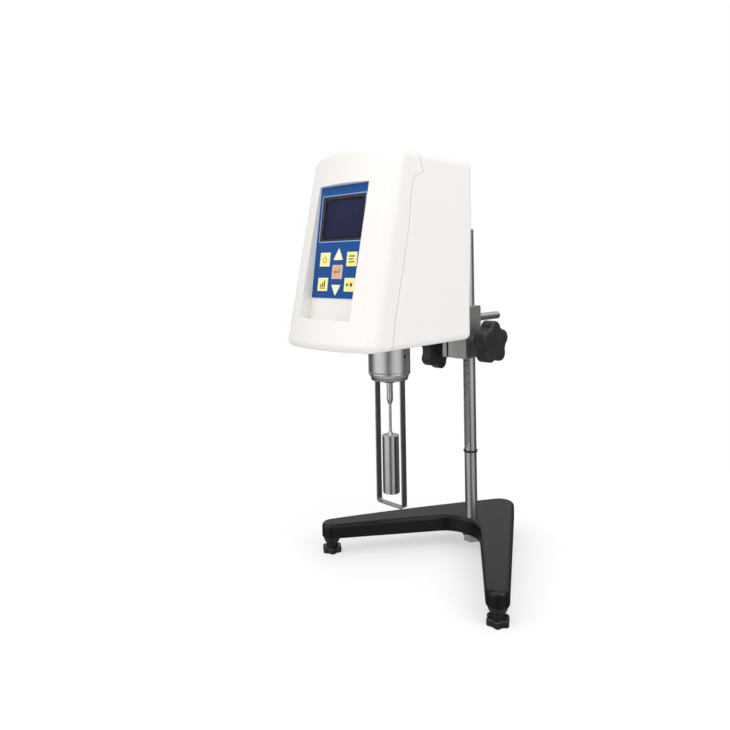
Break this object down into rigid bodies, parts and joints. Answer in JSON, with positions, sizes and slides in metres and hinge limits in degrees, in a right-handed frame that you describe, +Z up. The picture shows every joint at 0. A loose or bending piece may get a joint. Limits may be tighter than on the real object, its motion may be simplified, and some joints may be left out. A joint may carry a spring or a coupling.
{
  "type": "rotational viscometer",
  "caption": "Bench rotational viscometer: motor head with keypad, guarded cylindrical spindle, rack-and-pinion clamp on an upright post, and a three-footed V base.",
  "frame": {"origin": "centre of the bounding box at the level of the foot bottoms, in the plane of the upright post (x = 0)", "axes": "+Z up, the front with the keypad faces -Y, +X to the right seen from the front"},
  "size_m": [0.2663, 0.3236, 0.4791],
  "materials": {
    "shell_white": "moulded, satin",
    "base_black": "satin black enamel",
    "post_steel": "ground bar",
    "bright_steel": "polished stainless",
    "block_aluminium": "bead-blasted",
    "turned_aluminium": "turned, clear anodised",
    "black_plastic": "moulded",
    "overlay_blue": "printed film, satin",
    "key_yellow": "moulded",
    "key_tan": "moulded",
    "key_cream": "moulded",
    "lens_dark": "polished",
    "module_dark": "moulded",
    "board_green": "solder mask",
    "bronze": "sintered",
    "fastener_steel": "zinc plated",
    "motor_body": "black, laminated",
    "ring_rubber": "moulded"
  },
  "bodies": {
    "stand": {"base_casting": "base_black", "upright_post": "post_steel", "post_rack": "fastener_steel", "post_stop_ring": "ring_rubber", "post_nut": "fastener_steel"},
    "foot_left": {"levelling_foot_left": "black_plastic"},
    "foot_right": {"levelling_foot_right": "black_plastic"},
    "foot_rear": {"levelling_foot_rear": "black_plastic"},
    "lift_drive": {"pinion_shaft": "fastener_steel", "lift_knob": "black_plastic"},
    "pad": {"pressure_pad": "bronze"},
    "clamp": {"clamp_screw": "fastener_steel", "clamp_knob": "black_plastic"},
    "drive": {"motor_shaft": "fastener_steel", "drive_hub": "turned_aluminium", "drive_disc": "module_dark", "torsion_spring": "bronze"},
    "measuring": {"pivot_shaft": "bright_steel", "sensing_disc": "module_dark", "coupling_nut": "bright_steel", "spindle": "bright_steel"},
    "rocker": {"power_switch": "black_plastic"},
    "key_top_left_cap": {"key_top_left": "key_yellow"},
    "key_top_right_cap": {"key_top_right": "key_yellow"},
    "key_bottom_left_cap": {"key_bottom_left": "key_yellow"},
    "key_bottom_right_cap": {"key_bottom_right": "key_yellow"},
    "key_centre_cap": {"key_centre": "key_tan"},
    "key_up_cap": {"key_up": "key_cream"},
    "key_down_cap": {"key_down": "key_cream"},
    "carriage": {"clamp_block": "block_aluminium", "pinion_bushes": "bronze", "clamp_bush": "fastener_steel", "rod_clamp_screw": "fastener_steel", "mounting_rod": "bright_steel", "rod_flange": "turned_aluminium", "rod_socket": "block_aluminium", "front_shell": "shell_white", "rear_shell": "shell_white", "keypad_panel": "overlay_blue", "display_lens": "lens_dark", "lcd_module": "module_dark", "keypad_board": "board_green", "bottom_plate": "block_aluminium", "bottom_screws": "fastener_steel", "chassis": "block_aluminium", "drive_motor": "motor_body", "motor_screws": "fastener_steel", "optical_sensors": "module_dark", "pivot_housing": "turned_aluminium", "upper_bearing": "fastener_steel", "main_board": "board_green", "board_standoffs": "bronze", "power_inlet": "black_plastic", "switch_bezel": "black_plastic", "collar": "turned_aluminium", "collar_set_screw": "fastener_steel", "lower_bearing": "fastener_steel", "guard_ring": "turned_aluminium", "guard_bush": "black_plastic", "guard_leg": "bright_steel"}
  },
  "joints": [
    {"name": "head_lift", "type": "slide", "parent": "stand", "child": "carriage", "axis": [0, 0, 1], "range_m": [-0.08, 0.088]},
    {"name": "lift_knob_turn", "type": "hinge", "parent": "carriage", "child": "lift_drive", "pos_m": [-0.04, 0.0581, 0.244], "axis": [-1, 0, 0], "range_deg": [-770, 850]},
    {"name": "pad_slide", "type": "slide", "parent": "carriage", "child": "pad", "axis": [-1, 0, 0], "range_m": [0, 0.00040143]},
    {"name": "clamp_knob_turn", "type": "hinge", "parent": "pad", "child": "clamp", "pos_m": [0.03, 0.07, 0.258], "axis": [-1, 0, 0], "range_deg": [0, 115]},
    {"name": "drive_spin", "type": "hinge", "parent": "carriage", "child": "drive", "pos_m": [-0.017, -0.057, 0.36], "axis": [0, 0, 1], "continuous": true},
    {"name": "spring_deflection", "type": "hinge", "parent": "drive", "child": "measuring", "pos_m": [-0.017, -0.057, 0.33], "axis": [0, 0, -1], "range_deg": [0, 80], "stiffness_Nm_per_rad": 0.00005},
    {"name": "power_rocker", "type": "hinge", "parent": "carriage", "child": "rocker", "pos_m": [-0.043, 0.01365, 0.33008], "axis": [0, -0.0549, -0.9985], "range_deg": [0, 10]},
    {"name": "foot_left_turn", "type": "hinge", "parent": "stand", "child": "foot_left", "pos_m": [-0.121, -0.055, 0.012], "axis": [0, 0, 1], "range_deg": [-180, 180]},
    {"name": "foot_right_turn", "type": "hinge", "parent": "stand", "child": "foot_right", "pos_m": [0.121, -0.055, 0.012], "axis": [0, 0, 1], "range_deg": [-180, 180]},
    {"name": "foot_rear_turn", "type": "hinge", "parent": "stand", "child": "foot_rear", "pos_m": [0, 0.141, 0.012], "axis": [0, 0, 1], "range_deg": [-180, 180]},
    {"name": "key_top_left_press", "type": "slide", "parent": "carriage", "child": "key_top_left_cap", "axis": [0, 0.9887, -0.1499], "range_m": [0, 0.0005], "stiffness_N_per_m": 800, "springref_m": -0.0001},
    {"name": "key_top_right_press", "type": "slide", "parent": "carriage", "child": "key_top_right_cap", "axis": [0, 0.9887, -0.1499], "range_m": [0, 0.0005], "stiffness_N_per_m": 800, "springref_m": -0.0001},
    {"name": "key_bottom_left_press", "type": "slide", "parent": "carriage", "child": "key_bottom_left_cap", "axis": [0, 0.9887, -0.1499], "range_m": [0, 0.0005], "stiffness_N_per_m": 800, "springref_m": -0.0001},
    {"name": "key_bottom_right_press", "type": "slide", "parent": "carriage", "child": "key_bottom_right_cap", "axis": [0, 0.9887, -0.1499], "range_m": [0, 0.0005], "stiffness_N_per_m": 800, "springref_m": -0.0001},
    {"name": "key_centre_press", "type": "slide", "parent": "carriage", "child": "key_centre_cap", "axis": [0, 0.9887, -0.1499], "range_m": [0, 0.0005], "stiffness_N_per_m": 800, "springref_m": -0.0001},
    {"name": "key_up_press", "type": "slide", "parent": "carriage", "child": "key_up_cap", "axis": [0, 0.9887, -0.1499], "range_m": [0, 0.0005], "stiffness_N_per_m": 800, "springref_m": -0.0001},
    {"name": "key_down_press", "type": "slide", "parent": "carriage", "child": "key_down_cap", "axis": [0, 0.9887, -0.1499], "range_m": [0, 0.0005], "stiffness_N_per_m": 800, "springref_m": -0.0001}
  ],
  "couplings": [
    {"joint": "lift_knob_turn", "follows": "head_lift", "rad_per_m": 166.67},
    {"joint": "pad_slide", "follows": "clamp_knob_turn", "m_per_rad": 0.0002}
  ]
}
